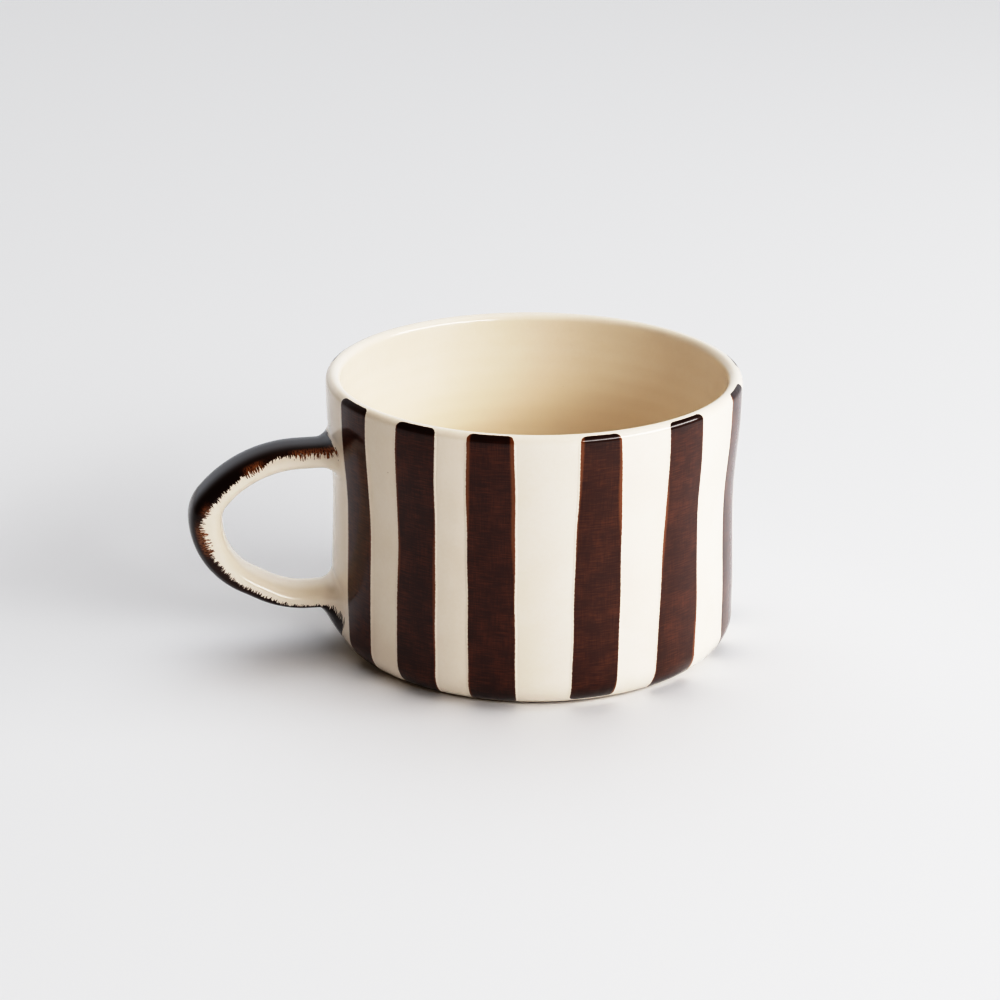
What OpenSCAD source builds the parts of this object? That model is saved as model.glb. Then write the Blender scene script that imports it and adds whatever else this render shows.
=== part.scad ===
// Wide stoneware mug: a thrown cup, a pulled strap handle luted on at two joints, and brushed
// underglaze coats, which are thirteen stripes round the wall and one band along the handle.
// Millimetres. The origin is the centre of the foot, +Z is up and the handle points along -X.

/* [Cup] */
// Outer diameter across the lip
rim_d = 104; // [100:0.5:108]
// Height from the table to the top of the lip
cup_h = 70; // [67:0.5:78]
// Outer diameter at the waist, where the wall is narrowest
waist_d = 101.4; // [98:0.1:103]
// Height of the waist above the table
waist_z = 40; // [34:1:44]
// Outer diameter of the wall near the base
base_d = 102.6; // [100:0.1:106]
// Thickness of the wall, which is also the diameter of the rounded lip
wall_t = 3.7; // [3:0.1:5]
// Thickness of the floor above the foot
floor_t = 5.2; // [4:0.1:6]
// Radius of the outer corner between wall and base
corner_r = 7.5; // [5:0.5:8]
// Radius inside the cup between wall and floor
inner_corner_r = 7; // [3:0.5:8]
// Width of the flat ring that the cup stands on
foot_land = 6; // [4:0.5:9]
// Depth of the shallow recess turned inside that ring
foot_recess = 1.2; // [0.5:0.1:2]

/* [Handle] */
// Width of the strap where it leaves the wall at the top
upper_w = 14.2; // [12:0.2:17]
// Thickness of the strap there
upper_t = 5.8; // [4:0.1:7]
// Width of the strap at the handle's outermost point
elbow_w = 13.6; // [12:0.2:17]
// Thickness of the strap there
elbow_t = 8.4; // [5:0.1:9]
// Width of the strap where it comes back to the wall
lower_w = 13; // [12:0.2:17]
// Thickness of the strap there
lower_t = 5.2; // [4:0.1:7]
// Height of the upper joint's centre above the table
upper_z = 52; // [50:0.2:54]
// How far from the cup's axis the strap starts to bend down
bend_start = 59.5; // [58.5:0.5:62]
// Radius of the long bend over the shoulder, along the strap's middle
shoulder_r = 28.5; // [25:0.5:30]
// Angle that the shoulder bend turns through
shoulder_turn = 49; // [44:1:56]
// Radius of the tighter bend at the handle's outermost point
elbow_r = 8.5; // [6:0.5:10]
// Radius of the bend back towards the cup
heel_r = 19.5; // [18:0.5:21]
// Angle that the heel bend turns through
heel_turn = 61; // [56:1:64]
// Straight length between the heel bend and the last bend, which brings the strap in level
heel_run = 4.5; // [3:0.5:6]
// How square the strap's section is: 2 is an ellipse, more is flatter with rounder edges
strap_square = 2.6; // [2:0.1:3]
// Radius of the luted fillets where the strap joins the wall
joint_r = 4; // [2:0.5:5]

/* [Underglaze] */
// Width of one stripe, measured round the wall
stripe_w = 11.2; // [9:0.2:13]
// Thickness of a brushed coat
coat_t = 0.2; // [0.1:0.05:0.3]
// Height at which the stripes start, above the table
stripe_low = 1.2; // [1:0.1:2.8]
// Distance from the top of the lip down to the stripes' tops
stripe_drop = 0.2; // [0.2:0.1:1.4]

/* [Hidden] */
// Where each stripe's middle lies, in degrees round from the handle. They were painted by eye.
stripe_at = [21, 45, 67, 96, 123, 152, 179, 206, 232, 258, 284, 310, 335];
stripe_names = [for (i = [1 : len(stripe_at)]) str("stripe_", i < 10 ? "0" : "", i)];

$fn = 120;
rim_r = rim_d / 2;
waist_r = waist_d / 2;
base_r = base_d / 2;
lip_r = wall_t / 2;
lip_z = cup_h - lip_r;
belly_z = 15;         // the wall starts to draw in towards the waist here
flare_z = cup_h - 5;  // and has reached the rim's radius here
station = 5;          // step between the wall's stations
arc_steps = 8;        // straight pieces in a quarter of a small arc
section_steps = 20;   // pieces round the strap's section
turn_step = 6;        // most degrees between two rings of the strap
bury = 2.4;           // how far a solid runs into the wall before it is cut back to it
blunt = 0.3;          // thickness left at the thin end of a fillet
handle_side = 180;    // the side of the cup that the handle is on

cream = "#E8DAC4";
brown = "#3B231A";

// The strap's middle line starts inside the wall. In its steps [length, 0] is a straight and
// [radius, turn] a bend downwards. The slip of a joint surrounds its first and last stretch.
upper_size = [upper_w, upper_t];
elbow_size = [elbow_w, elbow_t];
lower_size = [lower_w, lower_t];
strap_start = waist_r - bury;
joint_run = max(wall_r(upper_z), base_r) + joint_r + blunt - strap_start;
shoulder_to_run = [
    [bend_start - strap_start - joint_run, 0],
    [shoulder_r, shoulder_turn],
    [elbow_r, 90 - shoulder_turn],
    [heel_r, heel_turn],
    [heel_run, 0],
];
toe_r = travel(shoulder_to_run)[0] / cos(heel_turn);
free_path = concat(shoulder_to_run, [[toe_r, 90 - heel_turn]]);
drop = travel(free_path)[1];
lower_z = upper_z + drop;
free_stations = stations(free_path, [joint_run, 0]);
strap_stations = concat([[[0, 0], 0]], free_stations, [[[0, drop], 180]]);

// 0 to 1 with a level start and end
function ease(t) = (1 - cos(180 * min(max(t, 0), 1))) / 2;

// Outer radius of the wall at a height: a slight belly, a waist, then a flare to the lip
function wall_r(z) = z < waist_z
    ? base_r + (waist_r - base_r) * ease((z - belly_z) / (waist_z - belly_z))
    : waist_r + (rim_r - waist_r) * ease((z - waist_z) / (flare_z - waist_z));

// Points of the wall at its stations between two heights, moved outwards by an amount
function wall(low, high, out) =
    [for (z = [low, each [belly_z : station : flare_z], high]) [wall_r(z) + out, z]];

// Points of an arc about [x, z] between two angles
function arc(x, z, r, from, to) =
    [for (i = [0 : arc_steps]) let (a = from + (to - from) * i / arc_steps)
        [x, z] + r * [cos(a), sin(a)]];

// The outer skin's half-outline, moved outwards by grow, from one angle on the base corner's arc to
// one on the lip's arc
function skin(grow, from, to) = concat(
    arc(base_r - corner_r, corner_r, corner_r + grow, from, -1),
    wall(corner_r, lip_z, grow),
    arc(rim_r - lip_r, lip_z, lip_r + grow, 1, to));

// A list from its last item to its first
function backwards(list) = [for (i = [len(list) - 1 : -1 : 0]) list[i]];

// How far a path has gone out and up by its end
function travel(path, i = 0, at = [0, 0], heading = 0) =
    i == len(path) ? at
    : travel(path, i + 1, at + leg(path[i][0], path[i][1], heading), heading + path[i][1]);

// How far one step, or the first part of it, goes out and up
function leg(size, turn, heading, part = 1) = turn == 0
    ? size * part * [cos(heading), -sin(heading)]
    : let (to = heading + turn * part) size * [sin(to) - sin(heading), cos(to) - cos(heading)];

// The places and headings where a path's rings stand
function stations(path, at, i = 0, heading = 0) =
    i == len(path) ? [[at, heading]]
    : let (size = path[i][0], turn = path[i][1], steps = max(1, ceil(turn / turn_step)))
    concat(
        [for (k = [0 : steps - 1]) [at + leg(size, turn, heading, k / steps), heading + turn * k / steps]],
        stations(path, at + leg(size, turn, heading), i + 1, heading + turn));

// The strap's width and thickness at a heading
function strap_size(heading) = heading < 90
    ? upper_size + (elbow_size - upper_size) * ease(heading / 90)
    : elbow_size + (lower_size - elbow_size) * ease(heading / 90 - 1);

// x to a power with its sign kept, for the strap's rounded section
function signed_pow(x, p) = sign(x) * pow(abs(x), p);

// Part of the strap's outline at a heading: x across it and y to its outer side
function outline(heading, grow, turn) = [
    for (i = [0 : section_steps * turn / 360 - (turn == 360 ? 1 : 0)])
    let (a = 360 * i / section_steps, half = strap_size(heading) / 2 + [grow, grow])
    [half[0] * signed_pow(cos(a), 2 / strap_square), half[1] * signed_pow(sin(a), 2 / strap_square)]];

// The outline of the coat on the strap's outer half
function coat_outline(heading) = concat(outline(heading, coat_t, 180), backwards(outline(heading, 0, 180)));

// An outline's points stood at a station of the strap
function stood(station, points) =
    [for (p = points) [
        station[0][0] + p[1] * sin(station[1]),
        p[0],
        station[0][1] + p[1] * cos(station[1])]];

// The cup with nothing hollowed out, which cuts the joining pieces back to its wall
module cup_blank() {
    rotate_extrude()
        polygon(concat([[0, 0]], skin(0, -90, 90), [[0, cup_h]]));
}

// Joins rings of points, all of one even length, into a closed solid. Each end is closed by strips
// across the ring, from its first half to its second.
module loft(rings) {
    n = len(rings[0]);
    last = (len(rings) - 1) * n;
    sides = [for (r = [0 : len(rings) - 2]) for (i = [0 : n - 1]) let (
        a = r * n + i, b = r * n + (i + 1) % n)
        each [[a, b + n, b], [a, a + n, b + n]]];
    ends = [for (i = [0 : n / 2 - 2]) let (strip = [i, i + 1, n - 2 - i, n - 1 - i])
        each [strip, [for (k = backwards(strip)) last + k]]];
    polyhedron([for (ring = rings) each ring], concat(sides, ends));
}

// Puts the handle's middle line where it leaves the wall, on the handle's side of the cup
module on_handle_line() {
    rotate(handle_side)
        translate([strap_start, 0, upper_z])
            children();
}

// The whole strap, before it is cut back to the wall
module strap() {
    on_handle_line()
        loft([for (st = strap_stations) stood(st, outline(st[1], 0, 360))]);
}

// Half-section through a boss of a thickness that flares out to a wall at z = 0
module flare_section(thick) {
    reach = thick / 2 + blunt + joint_r;
    polygon(concat([[0, -bury], [reach, -bury]], arc(reach, joint_r, joint_r, 270, 180), [[0, joint_r]]));
}

// That boss, with round ends
module flared_boss(size) {
    flat = size[0] - size[1];
    rotate([90, 0, 90])
        linear_extrude(flat, center = true) {
            flare_section(size[1]);
            mirror([1, 0])
                flare_section(size[1]);
        }
    for (side = [0, 180])
        rotate(side)
            translate([flat / 2, 0])
                rotate(-90)
                    rotate_extrude(angle = 180)
                        flare_section(size[1]);
}

// The ring of slip that lutes one end of the strap to the wall, at a height and a heading
module luted_joint(z, heading) {
    color(cream)
        rotate(handle_side)
            difference() {
                translate([wall_r(z), 0, z])
                    rotate([90, 0, 90])
                        flared_boss(strap_size(heading));
                cup_blank();
                translate([strap_start, 0, z])
                    rotate([90, 0, 90])
                        linear_extrude(joint_run)
                            polygon(outline(heading, 0, 360));
            }
}

module cup() {
    floor_r = wall_r(floor_t) - wall_t - inner_corner_r;
    land_r = base_r - corner_r - foot_land;
    inside = concat(
        arc(floor_r, floor_t + inner_corner_r, inner_corner_r, 270, 359),
        wall(floor_t + inner_corner_r, lip_z, -wall_t));
    recess = [[0, foot_recess], [land_r - foot_recess, foot_recess], [land_r, 0]];
    color(cream)
        rotate_extrude()
            polygon(concat(recess, skin(0, -90, 179), backwards(inside), [[0, floor_t]]));
}

module handle() {
    color(cream)
        difference() {
            strap();
            cup_blank();
        }
}

module upper_joint() {
    luted_joint(upper_z, 0);
}

module lower_joint() {
    luted_joint(lower_z, 180);
}

// The coat on the outer half of the strap, from one joint to the other
module handle_band() {
    color(brown)
        on_handle_line()
            loft([for (st = free_stations) stood(st, coat_outline(st[1]))]);
}

// One coat of underglaze down the wall, its middle at an angle round from the handle
module stripe(at) {
    width = stripe_w / waist_r * 180 / PI;
    low = asin((stripe_low - corner_r) / corner_r);
    high = asin((lip_r - stripe_drop) / lip_r);
    color(brown)
        rotate(handle_side + at - width / 2)
            rotate_extrude(angle = width)
                polygon(concat(skin(0, low, high), backwards(skin(coat_t, low, high))));
}

cup();
handle();
upper_joint();
lower_joint();
handle_band();
for (i = [0 : len(stripe_at) - 1])
    stripe(stripe_at[i]);
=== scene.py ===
"""A wide stoneware mug with brushed brown stripes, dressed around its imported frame.

The cup, the strap handle and the slip that lutes the strap on are each built as clay, then the
underglaze coats are laid over them. Every piece stands for the frame's node of the same part.
Lengths are metres. +Z is up and the handle points along -X.
"""

import logging
import math
from dataclasses import dataclass, field
from enum import Enum
from typing import Any, Callable, Sequence, Union

import bmesh
import bpy
from bpy.types import Material, Object
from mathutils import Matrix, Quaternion, Vector


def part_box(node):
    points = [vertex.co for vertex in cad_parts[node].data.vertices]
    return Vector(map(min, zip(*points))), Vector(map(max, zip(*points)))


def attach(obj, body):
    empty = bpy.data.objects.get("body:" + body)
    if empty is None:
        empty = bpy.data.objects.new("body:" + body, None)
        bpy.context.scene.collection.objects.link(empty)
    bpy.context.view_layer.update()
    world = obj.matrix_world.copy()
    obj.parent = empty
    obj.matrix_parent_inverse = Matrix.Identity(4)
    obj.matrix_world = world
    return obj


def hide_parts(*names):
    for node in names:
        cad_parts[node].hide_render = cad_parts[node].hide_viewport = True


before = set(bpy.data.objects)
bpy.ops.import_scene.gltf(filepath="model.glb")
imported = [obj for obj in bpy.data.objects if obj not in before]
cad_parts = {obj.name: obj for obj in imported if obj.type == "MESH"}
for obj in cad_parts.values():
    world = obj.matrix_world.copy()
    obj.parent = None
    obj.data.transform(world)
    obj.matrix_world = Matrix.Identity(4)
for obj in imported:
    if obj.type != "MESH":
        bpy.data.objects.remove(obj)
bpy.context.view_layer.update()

LOG = logging.getLogger("mug")
MM = 0.001
BODY = "root"
CREASE = math.radians(50)
Pair = tuple[float, float]
Triple = tuple[float, float, float]
Colour = tuple[float, float, float, float]


def ease(share: float) -> float:
    """Returns 0 to 1 with a level start and end."""
    share = min(max(share, 0.0), 1.0)
    return (1 - math.cos(math.pi * share)) / 2


def between(low: float, high: float, share: float) -> float:
    """Returns the value at a share of the way from low to high."""
    return low + (high - low) * share


def bowed(first: float, middle: float, last: float, share: float) -> float:
    """Returns the value on the one smooth bow through a first, a middle and a last value."""
    from_first = first * (1 - share) * (1 - 2 * share)
    from_middle = 4 * middle * share * (1 - share)
    from_last = last * share * (2 * share - 1)
    return from_first + from_middle + from_last


def track(stops: Sequence[Pair], at: float) -> float:
    """Follows a line through stops, eased between each two.

    Args:
        stops: Pairs of position and value, in order of position.
        at: Where to read the line.

    Returns:
        The value there, held level before the first stop and after the last.
    """
    if at <= stops[0][0]:
        return stops[0][1]
    for (a, low), (b, high) in zip(stops, stops[1:]):
        if at <= b:
            return between(low, high, ease((at - a) / (b - a)))
    return stops[-1][1]


def way(azimuth: float, elevation: float = 0.0) -> Vector:
    """Returns the direction at an azimuth right of the front, and an elevation, in degrees."""
    turn, rise = math.radians(azimuth), math.radians(elevation)
    level = math.cos(rise)
    return Vector((math.sin(turn) * level, -math.cos(turn) * level, math.sin(rise)))


def add_object(name: str, data: bpy.types.ID) -> Object:
    """Adds an object to the scene, and returns it."""
    made = bpy.data.objects.new(name, data)
    bpy.context.scene.collection.objects.link(made)
    return made


# Node graphs


class Wire:
    """A node's output socket, on which Python's operators add Math nodes."""

    def __init__(self, graph: "Graph", socket: bpy.types.NodeSocket) -> None:
        """Keeps the graph that the socket belongs to, and the socket."""
        self.graph = graph
        self.socket = socket

    def __add__(self, other: "Value") -> "Wire":
        """Returns the sum."""
        return self.graph.math("ADD", self, other)

    __radd__ = __add__

    def __sub__(self, other: "Value") -> "Wire":
        """Returns the difference."""
        return self.graph.math("SUBTRACT", self, other)

    def __rsub__(self, other: "Value") -> "Wire":
        """Returns the difference, from the other."""
        return self.graph.math("SUBTRACT", other, self)

    def __mul__(self, other: "Value") -> "Wire":
        """Returns the product."""
        return self.graph.math("MULTIPLY", self, other)

    __rmul__ = __mul__

    def out(self, name: str) -> "Wire":
        """Returns another output of the same node."""
        return Wire(self.graph, self.socket.node.outputs[name])


Value = Union[Wire, float]


@dataclass(frozen=True)
class Grain:
    """Soft noise: the width of its blobs, how far each axis is squeezed, and its finer layers."""

    size: float
    squeeze: Triple | None = None
    layers: float = 2.0
    rough: float = 0.5


class Graph:
    """A node tree that is written as expressions."""

    def __init__(self, tree: bpy.types.NodeTree) -> None:
        """Takes over a tree and empties it."""
        self.tree = tree
        tree.nodes.clear()

    def node(
        self,
        kind: str,
        settings: dict[str, Any] | None = None,
        sockets: dict[str | int, Any] | None = None,
        out: str | int = 0,
    ) -> Wire:
        """Adds a node.

        Args:
            kind: The node's type.
            settings: Its own settings, set before its sockets.
            sockets: A value or a wire for each input that is named.
            out: The output to hand on.

        Returns:
            That output's wire.
        """
        made = self.tree.nodes.new(kind)
        for name, value in (settings or {}).items():
            setattr(made, name, value)
        for name, value in (sockets or {}).items():
            if isinstance(value, Wire):
                self.tree.links.new(value.socket, made.inputs[name])
            else:
                made.inputs[name].default_value = value
        return Wire(self, made.outputs[out] if len(made.outputs) else None)

    def surface(self, sockets: dict[str, Any]) -> None:
        """Ends the tree in a Principled shader with the sockets given."""
        shader = self.node("ShaderNodeBsdfPrincipled", None, sockets)
        self.node("ShaderNodeOutputMaterial", None, {"Surface": shader})

    def math(self, operation: str, *values: Value) -> Wire:
        """Adds a Math node on wires or numbers, and returns its wire."""
        return self.node("ShaderNodeMath", {"operation": operation}, dict(enumerate(values)))

    def blend(self, factor: Value, first: Any, second: Any) -> Wire:
        """Mixes two colours, and returns the colour's wire."""
        settings = {"data_type": "RGBA", "clamp_factor": True}
        return self.node("ShaderNodeMix", settings, {0: factor, 6: first, 7: second}, out=2)

    def step(self, value: Value, low: float, high: float, to: Pair = (0, 1)) -> Wire:
        """Maps a value smoothly from one range to another.

        Args:
            value: What is mapped.
            low: The value that gives the first end of the new range.
            high: The value that gives its second end.
            to: The new range.

        Returns:
            The mapped value, held level outside the range.
        """
        sockets = {"Value": value, "From Min": low, "From Max": high, "To Min": to[0], "To Max": to[1]}
        return self.node("ShaderNodeMapRange", {"interpolation_type": "SMOOTHSTEP"}, sockets)

    def place(self) -> Wire:
        """Returns the place on the object, in metres."""
        return self.node("ShaderNodeTexCoord", out="Object")

    def fact(self, name: str) -> Wire:
        """Returns a number that the mesh holds at each point."""
        return self.node("ShaderNodeAttribute", {"attribute_name": name}, out="Fac")

    def noise(self, vector: Wire, grain: Grain) -> Wire:
        """Adds soft noise, read at a vector, and returns its values about 0.5."""
        if grain.squeeze:
            sockets = {"Vector": vector, "Scale": grain.squeeze}
            vector = self.node("ShaderNodeMapping", None, sockets)
        sockets = {"Vector": vector, "Scale": 1 / grain.size}
        sockets |= {"Detail": grain.layers, "Roughness": grain.rough}
        return self.node("ShaderNodeTexNoise", None, sockets)


# Finishes


@dataclass(frozen=True)
class CreamGlaze:
    """Glossy cream glaze over speckled stoneware, with the bare clay of the foot."""

    slot: str = "cream_glaze"
    thin: Colour = (0.862, 0.780, 0.670, 1.0)
    thick: Colour = (0.885, 0.812, 0.710, 1.0)
    # pooled: the inside's colour, painted warmer and darker as shade of the light that bounces in the
    # cup.
    pooled: Colour = (0.858, 0.755, 0.618, 1.0)
    iron: Colour = (0.22, 0.12, 0.06, 1.0)
    clay: Colour = (0.56, 0.42, 0.29, 1.0)
    wave: float = 0.035 * MM
    cloud: Grain = Grain(14 * MM, layers=3.0)
    grain: Grain = Grain(0.9 * MM)
    graininess: float = 0.35
    mottled: Pair = (0.3, 0.7)
    pool: Grain = Grain(9 * MM, layers=1.0)
    peel: Grain = Grain(1.3 * MM, layers=1.0)
    peel_share: float = 0.03
    speck_cell: float = 4.6 * MM
    speck_size: float = 0.035
    speck_edge: float = 0.012
    speckless: float = 0.55
    speck_depth: Pair = (0.25, 0.8)
    gloss: float = 0.09
    bare_roughness: float = 0.85
    bare_below: float = 0.5 * MM
    bare_fade: float = 0.3 * MM
    bare_stray: float = 0.25 * MM
    bare_ragged: Grain = Grain(2 * MM)
    # Radii inside which the painted shade of the cup's inside fades in.
    shaded_inside_r: Pair = (46.5 * MM, 49.0 * MM)

    def colour(self, graph: Graph) -> Wire:
        """Returns the glaze's colour: soft mottling, a painted shade that warms the inside, and iron
        specks.
        """
        place = graph.place()
        grain = graph.noise(place, self.grain)
        mottle = graph.noise(place, self.cloud) + self.graininess * (grain - 0.5)
        body = graph.blend(graph.step(mottle, *self.mottled), self.thin, self.thick)
        level = graph.node("ShaderNodeVectorMath", {"operation": "MULTIPLY"}, {0: place, 1: (1, 1, 0)})
        radius = graph.node("ShaderNodeVectorMath", {"operation": "LENGTH"}, {0: level}, out="Value")
        # Painted shade: inside the cup the glaze turns warmer and darker, standing in for light
        # bouncing there.
        body = graph.blend(1 - graph.step(radius, *self.shaded_inside_r), body, self.pooled)
        cell = graph.node("ShaderNodeTexVoronoi", None, {"Vector": place, "Scale": 1 / self.speck_cell})
        chance = graph.node("ShaderNodeSeparateColor", None, {"Color": cell.out("Color")})
        size = graph.step(chance, self.speckless, 1.0, (0.0, self.speck_size))
        inside = graph.step(size - cell, -self.speck_edge, self.speck_edge)
        depth = graph.step(chance.out("Green"), 0.0, 1.0, self.speck_depth)
        return graph.blend(inside * depth, body, self.iron)

    def relief(self, graph: Graph, under: Value = 0.0) -> Wire:
        """Returns the normal of a fired glaze.

        Args:
            graph: The material's graph.
            under: The height of what lies under the glaze, in units of `wave`.

        Returns:
            The normal. The glaze pools a little and is never quite flat.
        """
        place = graph.place()
        pools = graph.noise(place, self.pool)
        peel = graph.noise(place, self.peel)
        height = pools + self.peel_share * peel + under
        sockets = {"Strength": 1.0, "Distance": self.wave, "Height": height}
        return graph.node("ShaderNodeBump", None, sockets)

    def material(self) -> Material:
        """Makes the material."""
        made, graph = new_material("cream_glaze")
        height = graph.node("ShaderNodeSeparateXYZ", None, {"Vector": graph.place()}, out="Z")
        edge = self.bare_stray * graph.noise(graph.place(), self.bare_ragged)
        bare = 1 - graph.step(height + edge, self.bare_below, self.bare_below + self.bare_fade)
        surface = {
            "Base Color": graph.blend(bare, self.colour(graph), self.clay),
            "Roughness": graph.step(bare, 0.0, 1.0, (self.gloss, self.bare_roughness)),
            "Normal": self.relief(graph),
        }
        graph.surface(surface)
        return made


@dataclass(frozen=True)
class BrownUnderglaze:
    """Dark brown underglaze brushed on under the clear gloss, thin and red at its edges.

    The mesh holds `cover` and `side`, the distances in millimetres inside the coat's edge and inside
    its nearer side, and `load`, from 0 in a plain stroke to 1 where the brush left a heavy deposit.
    Its UV map is across the stroke and along it. That map and the sizes here are in millimetres.
    """

    slot: str = "brown_underglaze"
    glaze: CreamGlaze = field(default_factory=CreamGlaze)
    heavy: Colour = (0.020, 0.0066, 0.0048, 1.0)
    middle: Colour = (0.048, 0.0140, 0.0086, 1.0)
    thin: Colour = (0.115, 0.034, 0.0150, 1.0)
    edge: Colour = (0.26, 0.092, 0.034, 1.0)
    coat: float = 0.8
    gloss: float = 0.07
    haze: float = 0.42
    body_shine: float = 0.14
    threads_across: Grain = Grain(0.30, (0.07, 1.0, 1.0), rough=0.6)
    threads_along: Grain = Grain(0.30, (1.0, 0.06, 1.0), rough=0.6)
    across_share: float = 0.66
    patch: Grain = Grain(6.0)
    patchiness: float = 0.5
    weave_turns: Pair = (0.36, 0.80)
    load_hides: Pair = (0.25, 0.95)
    most_hidden: float = 0.82
    ragged: Grain = Grain(0.5)
    raggedness: float = 0.30
    drained: Grain = Grain(11.0, (1.0, 0.22, 1.0), 1.0)
    drained_turns: Pair = (0.42, 0.66)
    drained_width: Pair = (0.05, 0.95)
    rim_fade: Pair = (-0.40, 0.30)
    rim_strength: float = 0.70
    edge_fade: Pair = (-0.04, 0.07)
    ridge: Grain = Grain(2.2, (1.0, 0.5, 1.0), 1.0)
    ridge_height: float = 4.0
    weave_height: float = 0.12

    def material(self) -> Material:
        """Makes the material."""
        made, graph = new_material("brown_underglaze")
        stroke = graph.node("ShaderNodeUVMap", {"uv_map": "stroke"})
        cover, load = graph.fact("cover"), graph.fact("load")
        across = graph.noise(stroke, self.threads_across)
        along = graph.noise(stroke, self.threads_along)
        patch = self.patchiness * (graph.noise(stroke, self.patch) - 0.5)
        threads = self.across_share * across + (1 - self.across_share) * along
        weave = graph.step(threads + patch, *self.weave_turns)
        bare = weave * (1 - graph.step(load, *self.load_hides, (0.0, self.most_hidden)))
        paint = graph.blend(bare, graph.blend(load, self.middle, self.heavy), self.thin)
        stray = self.raggedness * (graph.noise(stroke, self.ragged) - 0.5)
        slow = graph.noise(stroke, self.drained)
        drained = graph.step(slow, *self.drained_turns, self.drained_width)
        side = graph.fact("side") + stray
        rim = (1 - graph.step(side - drained, *self.rim_fade)) * self.rim_strength
        paint = graph.blend(rim, paint, self.edge)
        covered = graph.step(cover + stray, *self.edge_fade)
        ridges = self.ridge_height * load * graph.noise(stroke, self.ridge)
        under = ridges + self.weave_height * weave
        self.finish(graph, covered, paint, self.glaze.relief(graph, under))
        return made

    def finish(self, graph: Graph, covered: Wire, paint: Wire, normal: Wire) -> None:
        """Ends the tree: the paint where the coat covers the glaze, under the clear gloss."""
        surface = {
            "Base Color": graph.blend(covered, self.glaze.colour(graph), paint),
            "Roughness": self.haze,
            "Specular IOR Level": self.body_shine,
            "Coat Weight": self.coat,
            "Coat Roughness": self.gloss,
            "Normal": normal,
        }
        graph.surface(surface)


@dataclass(frozen=True)
class DryBrushedUnderglaze(BrownUnderglaze):
    """The same underglaze where the brush ran off the side of the strap and its bristles spread.

    The mesh also holds `dry`, from 0 to 1, where the coat is thin and streaky.
    """

    scraped: Colour = (0.30, 0.125, 0.055, 1.0)
    bristle: Grain = Grain(0.32, (0.16, 1.0, 1.0), rough=0.6)
    bristle_turns: Pair = (0.36, 0.64)
    spread: Pair = (0.9, 1.1)
    tuft: Grain = Grain(1.5, (0.35, 1.0, 1.0))
    tuft_reach: float = 1.6
    streak: Grain = Grain(0.30, (0.30, 1.0, 1.0), rough=0.7)
    streak_turns: Pair = (0.36, 0.56)
    streak_strength: Pair = (0.1, 1.0)
    dry_reach: float = 0.5
    hair_fade: Pair = (-0.03, 0.05)
    hair_rim: Pair = (0.05, 0.30)
    hair_rim_strength: float = 0.55

    def material(self) -> Material:
        """Makes the material."""
        made, graph = new_material("dry_brushed_underglaze")
        stroke = graph.node("ShaderNodeUVMap", {"uv_map": "stroke"})
        cover, dry = graph.fact("cover"), graph.fact("dry")
        spread = graph.step(graph.noise(stroke, self.bristle), *self.bristle_turns, (-0.5, 0.5))
        tufts = graph.noise(stroke, self.tuft) - 0.5
        streak = graph.noise(stroke, self.streak)
        reach = self.spread[0] + self.spread[1] * dry
        inside = cover + self.dry_reach * dry + reach * spread + self.tuft_reach * tufts
        covered = graph.step(inside, *self.hair_fade)
        thin = dry * graph.step(streak, *self.streak_turns, self.streak_strength)
        paint = graph.blend(thin, self.heavy, self.scraped)
        rim = (1 - graph.step(inside, *self.hair_rim)) * self.hair_rim_strength
        paint = graph.blend(rim, paint, self.thin)
        self.finish(graph, covered, paint, self.glaze.relief(graph))
        return made


def new_material(name: str) -> tuple[Material, Graph]:
    """Starts a material with an empty node tree, and returns both."""
    made = bpy.data.materials.new(name)
    made.use_nodes = True
    return made, Graph(made.node_tree)


# Building


@dataclass(frozen=True)
class Finish:
    """A material, and the name of the record's slot meant for it, which is not set on the pieces."""

    material: Material
    slot: str


def add_piece(name: str, shape: bmesh.types.BMesh, finish: Finish, stands_for: str) -> Object:
    """Turns a finished bmesh into a piece of the mug.

    Args:
        name: The piece's name.
        shape: Its bmesh, which is freed.
        finish: Its finish.
        stands_for: The frame's node that it replaces.

    Returns:
        The piece, riding on the mug's one body.
    """
    for face in shape.faces:
        face.smooth = True
    for edge in shape.edges:
        edge.smooth = edge.calc_face_angle(0.0) < CREASE
    mesh = bpy.data.meshes.new(name)
    shape.to_mesh(mesh)
    shape.free()
    mesh.materials.append(finish.material)
    piece = add_object(name, mesh)
    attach(piece, BODY)
    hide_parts(stands_for)
    LOG.info("%s: %d faces, stands for %s", name, len(mesh.polygons), stands_for)
    return piece


def loft(rings: Sequence[Sequence[Vector]], closed: bool = False) -> bmesh.types.BMesh:
    """Builds a tube through rings of points, by extruding a circle from each ring to the next.

    Args:
        rings: Rings of the same number of points.
        closed: Whether the last ring joins the first. If not, both ends are capped.

    Returns:
        The tube, with its faces outwards.
    """
    shape = bmesh.new()
    current = bmesh.ops.create_circle(shape, segments=len(rings[0]), radius=1.0)["verts"]
    first = list(current)
    edges = list(shape.edges)
    first_edges = list(edges)
    for index, ring in enumerate(rings):
        if index:
            grown = bmesh.ops.extrude_edge_only(shape, edges=edges)["geom"]
            fresh = {part for part in grown if isinstance(part, bmesh.types.BMVert)}
            edges = [
                part
                for part in grown
                if isinstance(part, bmesh.types.BMEdge) and set(part.verts) <= fresh
            ]
            current = [
                next(e.other_vert(v) for e in v.link_edges if e.other_vert(v) in fresh)
                for v in current
            ]
        for vert, point in zip(current, ring):
            vert.co = point
    if closed:
        bmesh.ops.bridge_loops(shape, edges=edges + first_edges)
    else:
        for loop in (first, current):
            bmesh.ops.contextual_create(shape, geom=loop)
    bmesh.ops.recalc_face_normals(shape, faces=shape.faces)
    return shape


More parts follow.
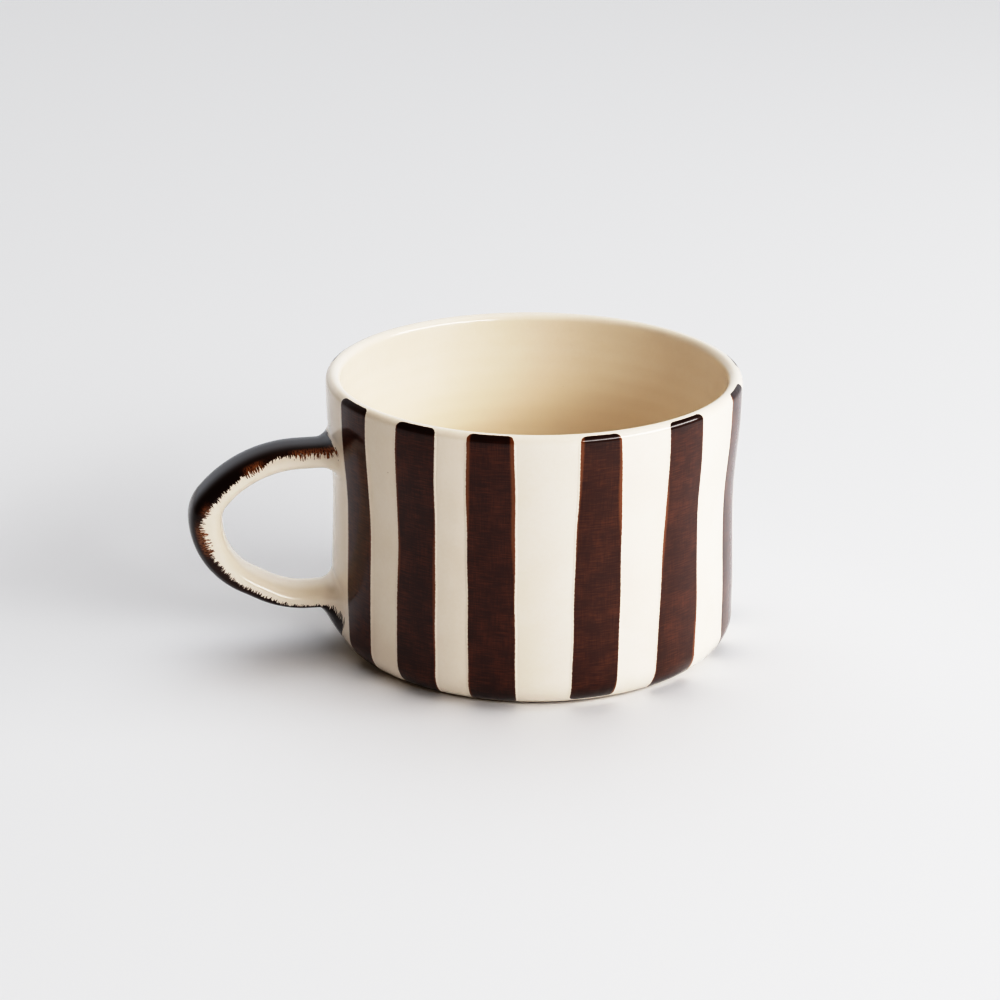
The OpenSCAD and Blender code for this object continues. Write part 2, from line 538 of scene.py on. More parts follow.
@dataclass(frozen=True)
class Laid:
    """One point of a coat, and what the brush left there.

    `cover` is how far inside the coat's edge it is, and `side` how far inside its nearer side.
    `load` is 1 under a heavy deposit and `dry` is 1 where the brush ran dry. `across` and `along` are
    its place in the stroke.
    """

    place: Vector
    cover: float
    across: float
    along: float
    side: float = 0.0
    load: float = 0.0
    dry: float = 0.0


@dataclass(frozen=True)
class Coat:
    """How a coat sits on the clay: proud of it where it is painted, and sunk into it at its border."""

    thick: float = 0.05 * MM
    sunk: float = 0.03 * MM
    slope: float = 0.6 * MM
    depth: float = 0.45 * MM

    def lay(self, columns: int, rows: int, point: Callable[[float, float], Laid]) -> bmesh.types.BMesh:
        """Lays a grid over the clay.

        Args:
            columns: Faces across the coat.
            rows: Faces along it.
            point: Gives the point at a share across and a share along.

        Returns:
            The coat's sheet, which holds what the brush left at each point.
        """
        shape = bmesh.new()
        layers = {name: shape.verts.layers.float.new(name) for name in ("cover", "side", "load", "dry")}
        stroke = shape.loops.layers.uv.new("stroke")
        bmesh.ops.create_grid(shape, x_segments=columns, y_segments=rows, size=0.5)
        laid = {vert: point(vert.co.x + 0.5, vert.co.y + 0.5) for vert in shape.verts}
        for vert, at in laid.items():
            vert.co = at.place
            vert[layers["cover"]] = at.cover / MM
            vert[layers["side"]] = at.side / MM
            vert[layers["load"]] = at.load
            vert[layers["dry"]] = at.dry
        shape.normal_update()
        for vert, at in laid.items():
            proud = self.thick * ease(at.cover / self.slope + 1)
            vert.co += vert.normal * (-self.sunk if vert.is_boundary else proud)
        for face in shape.faces:
            for corner in face.loops:
                at = laid[corner.vert]
                corner[stroke].uv = (at.across / MM, at.along / MM)
        return shape

    def fill(self, piece: Object) -> None:
        """Gives the sheet its thickness inwards, into the clay."""
        solid = piece.modifiers.new("depth", "SOLIDIFY")
        solid.thickness = self.depth
        solid.offset = -1.0


# The cup


@dataclass(frozen=True)
class Profile:
    """The thrown cup's outline. Its lip and height come from the frame."""

    lip_r: float
    height: float
    waist_r: float = 50.7 * MM
    base_r: float = 51.3 * MM
    wall: float = 3.7 * MM
    floor: float = 5.2 * MM
    belly_z: float = 15 * MM
    waist_z: float = 40 * MM
    flare_drop: float = 5 * MM
    corner: float = 7.5 * MM
    inner_corner: float = 7 * MM
    foot_land: float = 6 * MM
    foot_recess: float = 1.2 * MM
    foot_edge: float = 0.6 * MM
    throwing_ring: float = 0.05 * MM
    ring_pitch: float = 4.6 * MM
    ring_fade: int = 5
    wall_steps: int = 44
    round_steps: int = 18
    inner_steps: int = 12
    foot_steps: int = 8
    edge_steps: int = 4

    @classmethod
    def from_frame(cls) -> "Profile":
        """Reads the height from the frame's cup, and the lip from its narrower way across."""
        _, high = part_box("cup")
        return cls(lip_r=min(high.x, high.y), height=high.z)

    @property
    def lip_round(self) -> float:
        """Returns the radius of the rounded lip."""
        return self.wall / 2

    @property
    def wall_top(self) -> float:
        """Returns the height at which the lip's rounding starts."""
        return self.height - self.lip_round

    def radius(self, z: float) -> float:
        """Returns the outer wall's radius at a height: a slight belly, a waist, then a flare."""
        if z < self.waist_z:
            risen = (z - self.belly_z) / (self.waist_z - self.belly_z)
            return between(self.base_r, self.waist_r, ease(risen))
        flare_z = self.height - self.flare_drop
        return between(self.waist_r, self.lip_r, ease((z - self.waist_z) / (flare_z - self.waist_z)))

    def outer(self, z: float) -> float:
        """Returns the outer radius at a height, with the rounding of the foot's edge."""
        over = max(self.corner - z, 0.0)
        return self.radius(z) - self.corner + math.sqrt(self.corner ** 2 - over ** 2)

    @staticmethod
    def arc(x: float, z: float, r: float, start: float, end: float, steps: int) -> list[Vector]:
        """Returns points on an arc about (x, z), from one angle to another in degrees."""
        turns = [math.radians(between(start, end, i / steps)) for i in range(steps + 1)]
        return [Vector((x + r * math.cos(a), 0, z + r * math.sin(a))) for a in turns]

    def skin(self) -> list[Vector]:
        """Returns the outer side, from the foot's edge over the lip to where the inside starts."""
        steps, bend = self.wall_steps, self.round_steps
        heights = [between(self.corner, self.wall_top, i / steps) for i in range(1, steps)]
        return [
            *self.arc(self.base_r - self.corner, self.corner, self.corner, -90, 0, bend),
            *(Vector((self.radius(z), 0, z)) for z in heights),
            *self.arc(self.lip_r - self.lip_round, self.wall_top, self.lip_round, 0, 180, bend),
        ]

    def inside(self) -> list[Vector]:
        """Returns the inner side, from under the lip down to the middle of the floor."""
        low = self.floor + self.inner_corner
        steps, bend = self.wall_steps, self.inner_steps
        wall = []
        for i in range(1, steps):
            z = between(self.wall_top, low, i / steps)
            fade = ease(min(i, steps - i) / self.ring_fade)
            ring = self.throwing_ring * fade * math.sin(2 * math.pi * z / self.ring_pitch)
            wall.append(Vector((self.radius(z) - self.wall + ring, 0, z)))
        floor_r = self.radius(low) - self.wall - self.inner_corner
        corner = self.arc(floor_r, low, self.inner_corner, 0, -90, bend)
        middle = [Vector((floor_r * (1 - i / bend), 0, self.floor)) for i in range(1, bend + 1)]
        return wall + corner + middle

    def foot(self) -> list[Vector]:
        """Returns the underside, from its middle out to the ring that the cup stands on."""
        land = self.base_r - self.corner - self.foot_land
        slope = land - self.foot_recess
        edge, steps = self.foot_edge, self.foot_steps
        return [
            *(Vector((slope * i / steps, 0, self.foot_recess)) for i in range(steps)),
            *self.arc(slope - edge, self.foot_recess - edge, edge, 90, 0, self.edge_steps),
            *self.arc(land, edge, edge, 180, 270, self.edge_steps),
        ]


@dataclass
class Cup:
    """The thrown cup."""

    profile: Profile
    turns: int = 224

    def build(self, finish: Finish) -> Object:
        """Spins the outline into the cup, and returns the piece."""
        shape = bmesh.new()
        outline = self.profile.foot() + self.profile.skin() + self.profile.inside()
        verts = [shape.verts.new(point) for point in outline]
        edges = [shape.edges.new(pair) for pair in zip(verts, verts[1:])]
        bmesh.ops.spin(
            shape,
            geom=verts + edges,
            axis=(0, 0, 1),
            cent=(0, 0, 0),
            angle=2 * math.pi,
            steps=self.turns,
            use_merge=True,
        )
        bmesh.ops.remove_doubles(shape, verts=shape.verts, dist=0.001 * MM)
        bmesh.ops.recalc_face_normals(shape, faces=shape.faces)
        return add_piece("thrown_cup", shape, finish, "cup")


# The handle


class Side(Enum):
    """Whether the strap's path leaves or meets the wall, by its heading in degrees."""

    LEAVING = 0
    RETURNING = 180

    @property
    def up(self) -> int:
        """Returns 1 if the strap's outer side is upwards here, or -1."""
        return 1 if self is Side.LEAVING else -1


@dataclass(frozen=True)
class Reach:
    """A length that differs to the sides, above and below."""

    side: float
    up: float
    down: float

    def towards(self, across: float, up: float) -> float:
        """Returns the length in a direction."""
        slant = math.atan2(up, across)
        end = self.up if up > 0 else self.down
        return between(end, self.side, math.cos(slant) ** 2)


@dataclass(frozen=True)
class Lute:
    """The slip that joins one end of the strap to the wall, with a hollow fillet all round.

    `along_wall` and `along_strap` are how far the fillet reaches, and `hollow` is how hollow it is.
    `buried` is how deep the slip goes into the wall, and `inner` its hole's share of the strap's size.
    """

    name: str
    node: str
    profile: Profile
    z: float
    half: Pair
    square: float
    along_wall: Reach
    along_strap: Reach
    hollow: Reach = Reach(side=2.0, up=2.0, down=2.0)
    buried: float = 0.8 * MM
    inner: float = 0.9
    steps: int = 18

    def reach(self, reach: Reach, across: float, up: float) -> float:
        """Returns a reach in the direction of a point, by the strap's own proportions."""
        return reach.towards(across / self.half[0], up / self.half[1])

    def growth(self, up: float, share: float) -> Pair:
        """Returns how many times as wide and high the strap's outline is at a share of the fillet."""
        end = self.along_wall.up if up > 0 else self.along_wall.down
        return 1 + share * self.along_wall.side / self.half[0], 1 + share * end / self.half[1]

    def wall_x(self, across: float, z: float) -> float:
        """Returns how far out the wall is, at a distance across from the handle's middle."""
        return math.sqrt(self.profile.outer(z) ** 2 - across ** 2)

    def flared(self, across: float, up: float, turn: float) -> Vector:
        """Places a point of the fillet.

        Args:
            across: The strap outline's point that the fillet starts from.
            up: That point's height over the strap's middle.
            turn: How far round the fillet, from 0 at the strap to 90 degrees at the wall.

        Returns:
            The point, on the handle's side of the cup.
        """
        power = 2 / self.reach(self.hollow, across, up)
        wider, higher = self.growth(up, 1 - math.cos(math.radians(turn)) ** power)
        y, z = across * wider, self.z + up * higher
        proud = self.reach(self.along_strap, across, up) * (1 - math.sin(math.radians(turn)) ** power)
        return Vector((-(self.wall_x(y, z) + proud), -y, z))

    def height(self, across: float, z: float) -> float:
        """Returns how far the slip stands proud of the wall at a place on the wall."""
        up = z - self.z
        if self._outside(across, up, 1.0):
            return 0.0
        low, share = 0.0, 1.0
        for _ in range(16):
            middle = (low + share) / 2
            low, share = (middle, share) if self._outside(across, up, middle) else (low, middle)
        wider, higher = self.growth(up, share)
        across, up = across / wider, up / higher
        power = self.reach(self.hollow, across, up)
        sunk = (1 - (1 - share) ** power) ** (1 / power)
        return self.reach(self.along_strap, across, up) * (1 - sunk)

    def _outside(self, across: float, up: float, share: float) -> bool:
        """Tells whether a place is outside the strap's outline, grown by a share of the fillet."""
        wider, higher = self.growth(up, share)
        c, s = abs(across) / (self.half[0] * wider), abs(up) / (self.half[1] * higher)
        return c ** self.square + s ** self.square > 1

    def build(self, outline: Sequence[Pair], finish: Finish) -> Object:
        """Builds the slip as a closed ring round the strap.

        Args:
            outline: The strap's outline at this end.
            finish: The glaze.

        Returns:
            The piece.
        """
        rings = [
            [self.flared(across, up, 90 * i / self.steps) for across, up in outline]
            for i in range(self.steps + 1)
        ]
        inner = [(across * self.inner, up * self.inner) for across, up in outline]
        under = [
            [Vector((point.x + self.buried, point.y, point.z)) for point in rings[-1]],
            [self._sunk(start, end) for start, end in zip(outline, inner)],
            [self._inside(across, up) for across, up in inner],
        ]
        return add_piece(self.name, loft(rings + under, closed=True), finish, self.node)

    def _sunk(self, outline: Pair, inner: Pair) -> Vector:
        """Returns a point inside the strap, as deep in the wall as the wall is at the outline."""
        depth = self.wall_x(outline[0], self.z + outline[1]) - self.buried
        return Vector((-depth, -inner[0], self.z + inner[1]))

    def _inside(self, across: float, up: float) -> Vector:
        """Returns a point inside the strap, just short of the top of the fillet."""
        reach = self.reach(self.along_strap, across, up) * self.inner
        return Vector((-(self.wall_x(across, self.z + up) + reach), -across, self.z + up))


@dataclass(frozen=True)
class Station:
    """A place along the strap: how far out and up its middle is, and its heading in degrees."""

    out: float
    up: float
    heading: float


@dataclass
class Strap:
    """The pulled strap handle and its way round, from the upper root to the lower one."""

    profile: Profile
    upper_z: float
    upper: Pair = (14.2 * MM, 5.8 * MM)
    elbow: Pair = (13.6 * MM, 8.4 * MM)
    lower: Pair = (13.0 * MM, 5.2 * MM)
    square: float = 2.6
    bury: float = 1.5 * MM
    bend_start: float = 59.5 * MM
    shoulder: Pair = (28.5 * MM, 49)
    elbow_r: float = 8.5 * MM
    heel: Pair = (19.5 * MM, 61)
    heel_run: float = 4.5 * MM
    level_from: float = 57.6 * MM
    sides: int = 64
    pace: float = 1.0 * MM

    def __post_init__(self) -> None:
        """Walks the path, and marks the angles round the strap."""
        self.stations = self._walk()
        self.turns = [360 * i / self.sides for i in range(self.sides)]

    def _walk(self) -> list[Station]:
        """Returns stations about a pace apart. The last bend brings the strap in level."""
        start = self.profile.radius(self.upper_z) - self.bury
        heel_end = self._heel_end()
        toe_r = (heel_end - self.level_from) / math.cos(math.radians(self.heel[1]))
        steps = [
            (self.bend_start - start, 0),
            self.shoulder,
            (self.elbow_r, 90 - self.shoulder[1]),
            self.heel,
            (self.heel_run, 0),
            (toe_r, 90 - self.heel[1]),
            (self.level_from - start, 0),
        ]
        out, up, heading = start, self.upper_z, 0.0
        made = [Station(out, up, heading)]
        for size, turn in steps:
            length = size if turn == 0 else size * math.radians(turn)
            count = max(1, round(length / self.pace))
            for _ in range(count):
                middle = math.radians(heading + turn / count / 2)
                chord = length / count
                out += chord * math.cos(middle)
                up -= chord * math.sin(middle)
                heading += turn / count
                made.append(Station(out, up, heading))
        return made

    def _heel_end(self) -> float:
        """Returns how far out the straight after the heel ends."""
        shoulder, heel = math.radians(self.shoulder[1]), math.radians(self.heel[1])
        elbow_start = self.bend_start + self.shoulder[0] * math.sin(shoulder)
        widest = elbow_start + self.elbow_r * (1 - math.sin(shoulder))
        return widest - self.heel[0] * (1 - math.cos(heel)) - self.heel_run * math.sin(heel)

    @property
    def lower_z(self) -> float:
        """Returns the height at which the strap meets the wall again."""
        return self.stations[-1].up

    def half_size(self, heading: float) -> Pair:
        """Returns half the strap's width and half its thickness at a heading."""
        if heading < 90:
            first, second, share = self.upper, self.elbow, ease(heading / 90)
        else:
            first, second, share = self.elbow, self.lower, ease(heading / 90 - 1)
        return between(first[0], second[0], share) / 2, between(first[1], second[1], share) / 2

    def outline(self, heading: float, turn: float) -> Pair:
        """Returns the outline's point at an angle round it: across, and to the outer side."""
        half = self.half_size(heading)
        c, s = math.cos(math.radians(turn)), math.sin(math.radians(turn))
        power = 2 / self.square
        return (
            half[0] * math.copysign(abs(c) ** power, c),
            half[1] * math.copysign(abs(s) ** power, s),
        )

    def point(self, station: Station, turn: float) -> Vector:
        """Returns the strap's surface at a station and an angle round it."""
        across, outer = self.outline(station.heading, turn)
        heading = math.radians(station.heading)
        out = station.out + outer * math.sin(heading)
        return Vector((-out, -across, station.up + outer * math.cos(heading)))

    def build(self, finish: Finish) -> Object:
        """Builds the strap, and returns the piece."""
        rings = [[self.point(station, turn) for turn in self.turns] for station in self.stations]
        return add_piece("pulled_handle", loft(rings), finish, "handle")

    def lutes(self) -> tuple[Lute, Lute]:
        """Returns the upper and the lower joint's slip."""
        shared = {"profile": self.profile, "square": self.square}
        upper = Lute(
            name="upper_slip",
            node="upper_joint",
            z=self.upper_z,
            half=self.half_size(Side.LEAVING.value),
            along_wall=Reach(side=6.5 * MM, up=3 * MM, down=3 * MM),
            along_strap=Reach(side=4.5 * MM, up=3 * MM, down=3 * MM),
            **shared,
        )
        lower = Lute(
            name="lower_slip",
            node="lower_joint",
            z=self.lower_z,
            half=self.half_size(Side.RETURNING.value),
            along_wall=Reach(side=5 * MM, up=2.8 * MM, down=8.6 * MM),
            along_strap=Reach(side=4.5 * MM, up=2.8 * MM, down=4.8 * MM),
            hollow=Reach(side=2.0, up=2.0, down=1.4),
            **shared,
        )
        return upper, lower

    def end_outline(self, side: Side) -> list[Pair]:
        """Returns the outline at one end, as distances across and up."""
        points = (self.outline(side.value, turn) for turn in self.turns)
        return [(across, side.up * outer) for across, outer in points]


# The coats


@dataclass(frozen=True)
class Stroke:
    """One stripe's outline.

    Its edges are in degrees either side of its middle, at the top, middle and bottom. `over` is how
    many degrees round the lip it reaches, and `low` is its height above the table.
    """

    left: Triple = (-6.3, -6.4, -6.2)
    right: Triple = (6.3, 6.2, 6.4)
    over: float = 68.0
    low: float = 2.2 * MM


@dataclass
class Stripes:
    """The brushed stripes round the wall."""

    profile: Profile
    lutes: Sequence[Lute]
    coat: Coat = Coat()
    margin: float = 0.7 * MM
    corner: float = 1.6 * MM
    pooled: float = 9 * MM
    lifted: float = 5 * MM
    apart: float = 37 * MM
    wavers: tuple[Triple, ...] = ((9 * MM, 1.7, 0.13), (2.9 * MM, 3.1, 0.05))
    columns: int = 30
    rows: int = 130
    strokes: dict[str, Stroke] = field(
        default_factory=lambda: {
            "stripe_01": Stroke((-6.5, -6.3, -4.9), (6.6, 6.3, 7.1), 69.0, 1.0 * MM),
            "stripe_02": Stroke((-5.4, -6.6, -6.1), (6.5, 6.0, 6.1), 66.0, 0.9 * MM),
            "stripe_03": Stroke((-6.5, -6.6, -6.1), (6.0, 6.5, 6.6), 69.0, 1.0 * MM),
            "stripe_04": Stroke((-5.9, -6.4, -7.5), (5.4, 6.4, 5.6), 58.0, 1.9 * MM),
            "stripe_05": Stroke((-6.6, -7.3, -9.6), (5.9, 6.7, 6.2), 64.0, 1.1 * MM),
            "stripe_06": Stroke((-5.8, -6.8, -6.1), (6.0, 6.2, 6.4), 67.0, 1.1 * MM),
        }
    )

    def __post_init__(self) -> None:
        """Measures along the wall's skin."""
        self.skin = self.profile.skin()
        self.gone = [0.0]
        for a, b in zip(self.skin, self.skin[1:]):
            self.gone.append(self.gone[-1] + (b - a).length)

    def along(self, z: float) -> float:
        """Returns the distance along the skin at which it reaches a height."""
        for a, b, gone in zip(self.skin, self.skin[1:], self.gone):
            if b.z >= z:
                return gone + (b - a).length * (z - a.z) / (b.z - a.z)
        return self.gone[-1]

    def on_wall(self, gone: float, turn: float) -> Vector:
        """Places a point on the wall, or on the slip where that covers it.

        Args:
            gone: The distance along the skin.
            turn: The angle round the cup, in radians from +X.

        Returns:
            The point.
        """
        index = max(i for i in range(len(self.gone) - 1) if self.gone[i] <= max(gone, 0.0))
        a, b = self.skin[index], self.skin[index + 1]
        at = a.lerp(b, (gone - self.gone[index]) / (b - a).length)
        point = Vector((at.x * math.cos(turn), at.x * math.sin(turn), at.z))
        if point.x < 0:
            point.x -= max(lute.height(-point.y, at.z) for lute in self.lutes)
        return point

    @staticmethod
    def middle_turn(node: str) -> float:
        """Returns the angle round the cup of a stripe's middle, from its vertices in the frame."""
        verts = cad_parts[node].data.vertices
        return math.atan2(sum(v.co.y for v in verts), sum(v.co.x for v in verts))

    def waver(self, seed: float, along: float) -> float:
        """Returns how far an edge strays at a height, by a hand's slow and quick unsteadiness."""
        return MM * sum(
            millimetres * math.sin(along / length + seed * phase)
            for length, phase, millimetres in self.wavers
        )

    def edges(self, stroke: Stroke, seed: float, gone: float, share: float) -> Pair:
        """Finds where a stripe's edges are at one height.

        Args:
            stroke: The stripe's edges.
            seed: What its unsteadiness starts from.
            gone: The distance along the skin.
            share: The share of the way down the stripe.

        Returns:
            The left and the right edge, in metres from the stripe's middle.
        """
        degrees = (bowed(*side, share) for side in (stroke.left, stroke.right))
        left, right = (math.radians(angle) * self.profile.waist_r for angle in degrees)
        return left + self.waver(seed, gone), right + self.waver(seed + 5, gone)

    def cover(
        self,
        across: float,
        gone: float,
        sides: Pair,
        ends: Pair,
    ) -> float:
        """Returns how far inside the stripe's round-cornered outline a point is."""
        half = (sides[1] - sides[0]) / 2 - self.corner
        tall = (ends[1] - ends[0]) / 2 - self.corner
        x = abs(across - (sides[0] + sides[1]) / 2) - half
        y = abs(gone - (ends[0] + ends[1]) / 2) - tall
        return self.corner - math.hypot(max(x, 0), max(y, 0)) - min(max(x, y), 0)

    def build_one(self, node: str, seed: float, finish: Finish) -> Object:
        """Brushes one stripe on.

        Args:
            node: The frame's node that it stands for.
            seed: What its unsteadiness starts from.
            finish: The underglaze.

        Returns:
            The piece.
        """
        stroke = self.strokes.get(node, Stroke())
        middle = self.middle_turn(node)
        low = self.along(stroke.low)
        high = self.along(self.profile.wall_top) + self.profile.lip_round * math.radians(stroke.over)

        def point(u: float, v: float) -> Laid:
            """Lays one point of the stripe."""
            gone = between(low - self.margin, high + self.margin, v)
            sides = self.edges(stroke, seed, gone, (high - gone) / (high - low))
            across = between(sides[0] - self.margin, sides[1] + self.margin, u)
            place = self.on_wall(gone, middle + across / self.profile.waist_r)
            load = 1 - ease(min((gone - low) / self.pooled, (high - gone) / self.lifted))
            cover = self.cover(across, gone, sides, (low, high))
            side = min(across - sides[0], sides[1] - across)
            return Laid(place, cover, across + self.apart * seed, gone, side=side, load=load)

        shape = self.coat.lay(self.columns, self.rows, point)
        piece = add_piece(node.replace("stripe", "brushed_stripe"), shape, finish, node)
        self.coat.fill(piece)
        return piece

    def build(self, finish: Finish) -> list[Object]:
        """Brushes on every stripe of the frame, and returns the pieces."""
        nodes = sorted(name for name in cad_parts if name.startswith("stripe_"))
        return [self.build_one(node, float(i), finish) for i, node in enumerate(nodes, start=1)]


Line = tuple[float, Callable[[float], Vector]]


@dataclass(frozen=True)
class Row:
    """A line across the band: how far along it is, the strap's heading, and its points."""

    gone: float
    heading: float
    point: Callable[[float], Vector]


@dataclass
class Band:
    """The coat along the outer half of the strap, from the upper root to the wall below it.

    Its edges are angles round the strap from its near side, and change with the distance in
    millimetres from where the strap leaves the wall.
    """

    strap: Strap
    upper: Lute
    lower: Lute
    coat: Coat = Coat(thick=0.04 * MM)
    columns: int = 84
    from_turn: float = -32.0
    to_turn: float = 212.0
    start: float = 2.6 * MM
    end_gap: float = 0.4 * MM
    squared: float = 3.0
    dry_edge: float = 0.9 * MM
    dry_fade: float = 1.8 * MM
    past_fillet: float = 1.2 * MM
    over_upper: range = range(72, 0, -6)
    over_lower: range = range(0, 89, 4)
    edge: tuple[Pair, ...] = (
        (3, 34), (9, 30), (12.5, 27), (16, 33), (21, 16), (25, 13), (31, 6), (36, 2), (41, 5),
        (47, 16), (54, 7), (63, 2), (69, 5), (80, 8), (90, 16),
    )
    dryness: tuple[Pair, ...] = (
        (2, 1), (12, 1), (14, 0.1), (20, 0.1), (22, 0.9), (25, 0.9), (27, 0), (38, 0), (41, 0.7),
        (44, 0.1), (46, 0.2), (48, 1), (54, 0.9), (57, 0.1), (90, 0),
    )
    far_shift: float = 5.0

    def rows(self) -> list[Row]:
        """Returns the lines across the band, from the upper fillet to the lower one.

        Each has its distance along the strap's outer middle line.
        """
        clear = self.strap.level_from + self.past_fillet
        lines = [self._over(self.upper, Side.LEAVING, turn) for turn in self.over_upper]
        lines += [self._on(station) for station in self.strap.stations if station.out > clear]
        lines += [self._over(self.lower, Side.RETURNING, turn) for turn in self.over_lower]
        last = lines[0][1](90)
        gone = -last.x - self.strap.stations[0].out
        made = []
        for heading, point in lines:
            here = point(90)
            gone += (here - last).length
            last = here
            made.append(Row(gone, heading, point))
        return made

    def _on(self, station: Station) -> Line:
        """Returns a line over the strap at a station."""
        return station.heading, lambda turn: self.strap.point(station, turn)

    def _over(self, lute: Lute, side: Side, round_fillet: float) -> Line:
        """Returns a line over a fillet, at an angle round the fillet."""

        def point(turn: float) -> Vector:
            """Places one point of the line."""
            across, outer = self.strap.outline(side.value, turn)
            return lute.flared(across, side.up * outer, round_fillet)

        return side.value, point

    def girth(self, heading: float, turn: float) -> float:
        """Returns the distance round the strap from its outer middle to an angle, signed."""
        steps = max(1, math.ceil(abs(turn - 90) / 4))
        points = [self.strap.outline(heading, between(90, turn, i / steps)) for i in range(steps + 1)]
        length = sum(math.dist(a, b) for a, b in zip(points, points[1:]))
        return math.copysign(length, turn - 90)

    def build(self, finish: Finish) -> Object:
        """Brushes the coat on, and returns the piece."""
        rows = self.rows()
        end = rows[-1].gone - self.end_gap

        def point(u: float, v: float) -> Laid:
            """Lays one point of the band."""
            row = rows[round(v * (len(rows) - 1))]
            turn = between(self.from_turn, self.to_turn, u)
            along = row.gone / MM
            near = self.girth(row.heading, track(self.edge, along))
            far = self.girth(row.heading, 180 - track(self.edge, along + self.far_shift))
            across = self.girth(row.heading, turn)
            side = min(across - near, far - across)
            cover = min(side, self.squared * (row.gone - self.start), self.squared * (end - row.gone))
            side_dry = track(self.dryness, along if across < 0 else along + self.far_shift)
            dry = side_dry * (1 - ease((side - self.dry_edge) / self.dry_fade))
            return Laid(row.point(turn), cover, across, row.gone, side=side, load=1.0, dry=dry)

        shape = self.coat.lay(self.columns, len(rows) - 1, point)
        piece = add_piece("handle_coat", shape, finish, "handle_band")
        self.coat.fill(piece)
        return piece


# The studio


@dataclass(frozen=True)
class ViewPoint:
    """The camera: a long lens from a little above, with the handle on the left."""

    aim: Vector
    away: float = 665.8 * MM
    azimuth: float = -12.0
    elevation: float = 20.583
    pan: float = 0.72
    tilt: float = 0.013
    roll: float = -0.519
    lens: float = 94.295
    sees_to: float = 50.0

    def build(self) -> Object:
        """Makes the scene's camera, and returns it."""
        back = way(self.azimuth, self.elevation)
        data = bpy.data.cameras.new("camera")
        data.lens = self.lens
        data.clip_end = self.sees_to
        camera = add_object("camera", data)
        camera.location = self.aim + back * self.away
        camera.rotation_mode = "QUATERNION"
        turns = (((0, 1, 0), self.pan), ((1, 0, 0), self.tilt), ((0, 0, 1), -self.roll))
        rotation = (-back).to_track_quat("-Z", "Y")
        for axis, degrees in turns:
            rotation = rotation @ Quaternion(axis, math.radians(degrees))
        camera.rotation_quaternion = rotation
        bpy.context.scene.camera = camera
        return camera


@dataclass(frozen=True)
class SoftBox:
    """A soft light: where it stands as seen from the mug, its size and its strength.

    One that isn't mirrored lights the mug without showing in its gloss.
    """

    name: str
    azimuth: float
    elevation: float
    away: float
    size: Pair
    watts: float
    tint: Triple = (1.0, 1.0, 1.0)
    mirrored: bool = True

    def build(self) -> None:
        """Hangs the light, turned to the mug."""
        place = way(self.azimuth, self.elevation)
        data = bpy.data.lights.new(self.name, "AREA")
        data.shape = "RECTANGLE"
        data.size, data.size_y = self.size
        data.energy = self.watts
        data.color = self.tint
        light = add_object(self.name, data)
        light.location = place * self.away
        light.rotation_mode = "QUATERNION"
        light.rotation_quaternion = place.to_track_quat("Z", "Y")
        light.visible_glossy = self.mirrored


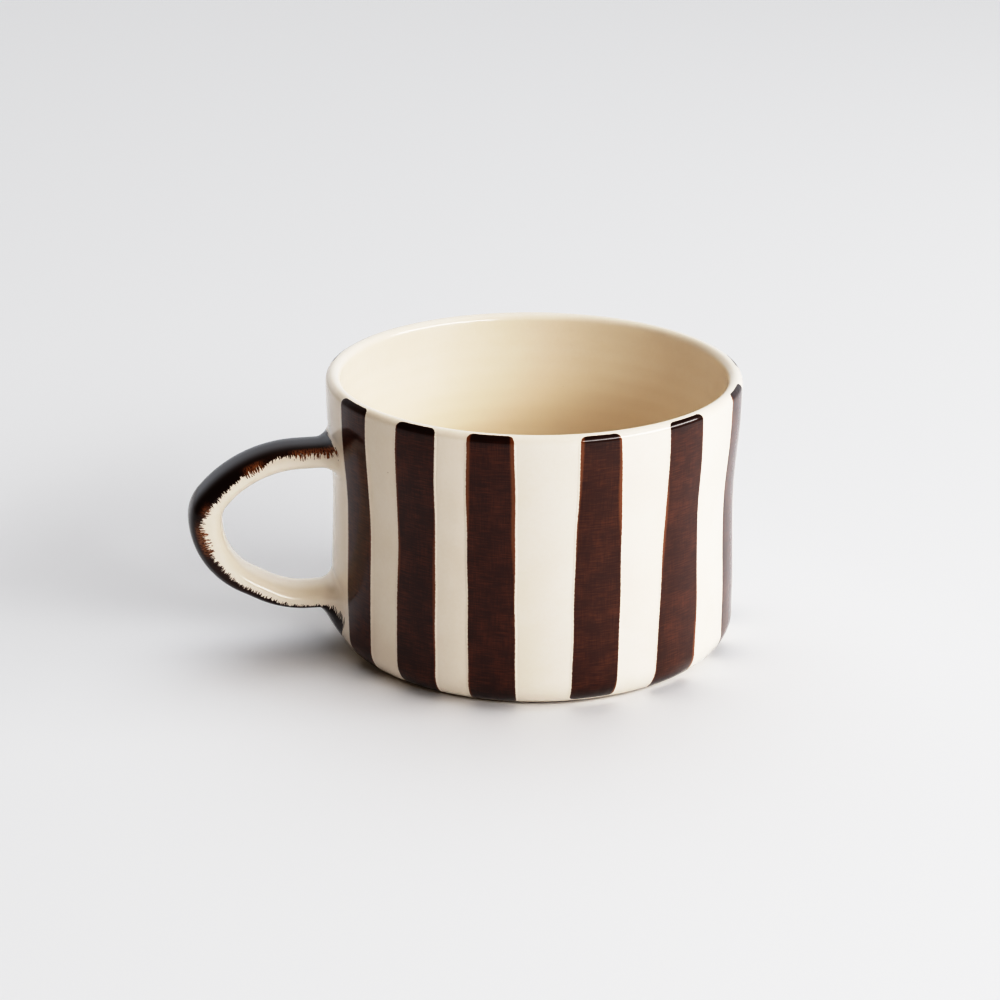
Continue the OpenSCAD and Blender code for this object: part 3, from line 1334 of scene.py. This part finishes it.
@dataclass(frozen=True)
class Studio:
    """A pale floor in a room that is white behind the mug, and dim overhead and on the viewer's side.

    The tone curve gives shadows depth and eases the whites, as print film does.
    """

    view_azimuth: float
    floor_size: float = 6.0
    floor_colour: Colour = (0.85, 0.865, 0.895, 1.0)
    floor_roughness: float = 0.6
    white: Colour = (0.83, 0.87, 0.92, 1.0)
    dim: Colour = (0.165, 0.122, 0.085, 1.0)
    turns_white: Pair = (0.22, 0.85)
    turns_dim: Pair = (0.25, 0.85)
    tones: tuple[Pair, ...] = (
        (0.0, 0.0), (0.044, 0.009), (0.0855, 0.03), (0.1735, 0.10), (0.30, 0.24), (0.435, 0.42),
        (0.586, 0.60), (0.74, 0.74), (1.1, 0.90), (1.7, 1.0),
    )
    boxes: tuple[SoftBox, ...] = (
        SoftBox("window", 50.0, 28.0, 1.1, (1.5, 0.27), 15.8, (1.0, 0.995, 0.985)),
        SoftBox("overhead", 172.0, 67.0, 2.2, (2.8, 2.4), 34.5, (0.93, 0.97, 1.0), mirrored=False),
    )

    def build(self) -> None:
        """Lays the floor, lights the room and hangs the soft boxes."""
        self._floor()
        self._room()
        for box in self.boxes:
            box.build()
        self._tones()

    def _tones(self) -> None:
        """Sets how light turns into tones of the picture."""
        view = bpy.context.scene.view_settings
        view.view_transform = "Standard"
        view.use_curve_mapping = True
        mapping = view.curve_mapping
        mapping.clip_max_x, mapping.clip_max_y = self.tones[-1]
        curve = mapping.curves[3]
        while len(curve.points) < len(self.tones):
            curve.points.new(0.5, 0.5)
        for point, place in zip(curve.points, self.tones):
            point.location = place
        mapping.update()

    def _floor(self) -> None:
        """Lays the floor."""
        shape = bmesh.new()
        bmesh.ops.create_grid(shape, x_segments=1, y_segments=1, size=self.floor_size)
        mesh = bpy.data.meshes.new("floor")
        shape.to_mesh(mesh)
        shape.free()
        made, graph = new_material("pale_floor")
        graph.surface({"Base Color": self.floor_colour, "Roughness": self.floor_roughness})
        mesh.materials.append(made)
        add_object("floor", mesh)

    def _room(self) -> None:
        """Makes the room's light: white behind the mug, dim towards the viewer."""
        world = bpy.data.worlds.new("room")
        bpy.context.scene.world = world
        world.use_nodes = True
        graph = Graph(world.node_tree)
        sky = graph.node("ShaderNodeTexCoord", out="Generated")
        along = {0: sky, 1: -way(self.view_azimuth)}
        depth = graph.node("ShaderNodeVectorMath", {"operation": "DOT_PRODUCT"}, along, out="Value")
        up = graph.node("ShaderNodeSeparateXYZ", None, {"Vector": sky}, out="Z")
        wall = graph.step(depth, *self.turns_white) * (1 - graph.step(up, *self.turns_dim))
        light = graph.blend(wall, self.dim, self.white)
        background = graph.node("ShaderNodeBackground", None, {"Color": light, "Strength": 1.0})
        graph.node("ShaderNodeOutputWorld", None, {"Surface": background})


def main() -> None:
    """Builds the studio, the clay pieces and the coats, in that order."""
    logging.basicConfig(level=logging.INFO, format="%(message)s")
    profile = Profile.from_frame()
    view = ViewPoint(aim=Vector((0, 0, profile.height / 2)))
    view.build()
    Studio(view.azimuth).build()

    cream, brown, dry = CreamGlaze(), BrownUnderglaze(), DryBrushedUnderglaze()
    glaze = Finish(cream.material(), cream.slot)
    upper_low, upper_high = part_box("upper_joint")
    strap = Strap(profile, upper_z=(upper_low.z + upper_high.z) / 2)
    upper, lower = strap.lutes()

    Cup(profile).build(glaze)
    strap.build(glaze)
    upper.build(strap.end_outline(Side.LEAVING), glaze)
    lower.build(strap.end_outline(Side.RETURNING), glaze)
    Stripes(profile, (upper, lower)).build(Finish(brown.material(), brown.slot))
    Band(strap, upper, lower).build(Finish(dry.material(), dry.slot))


if __name__ == "__main__":
    main()
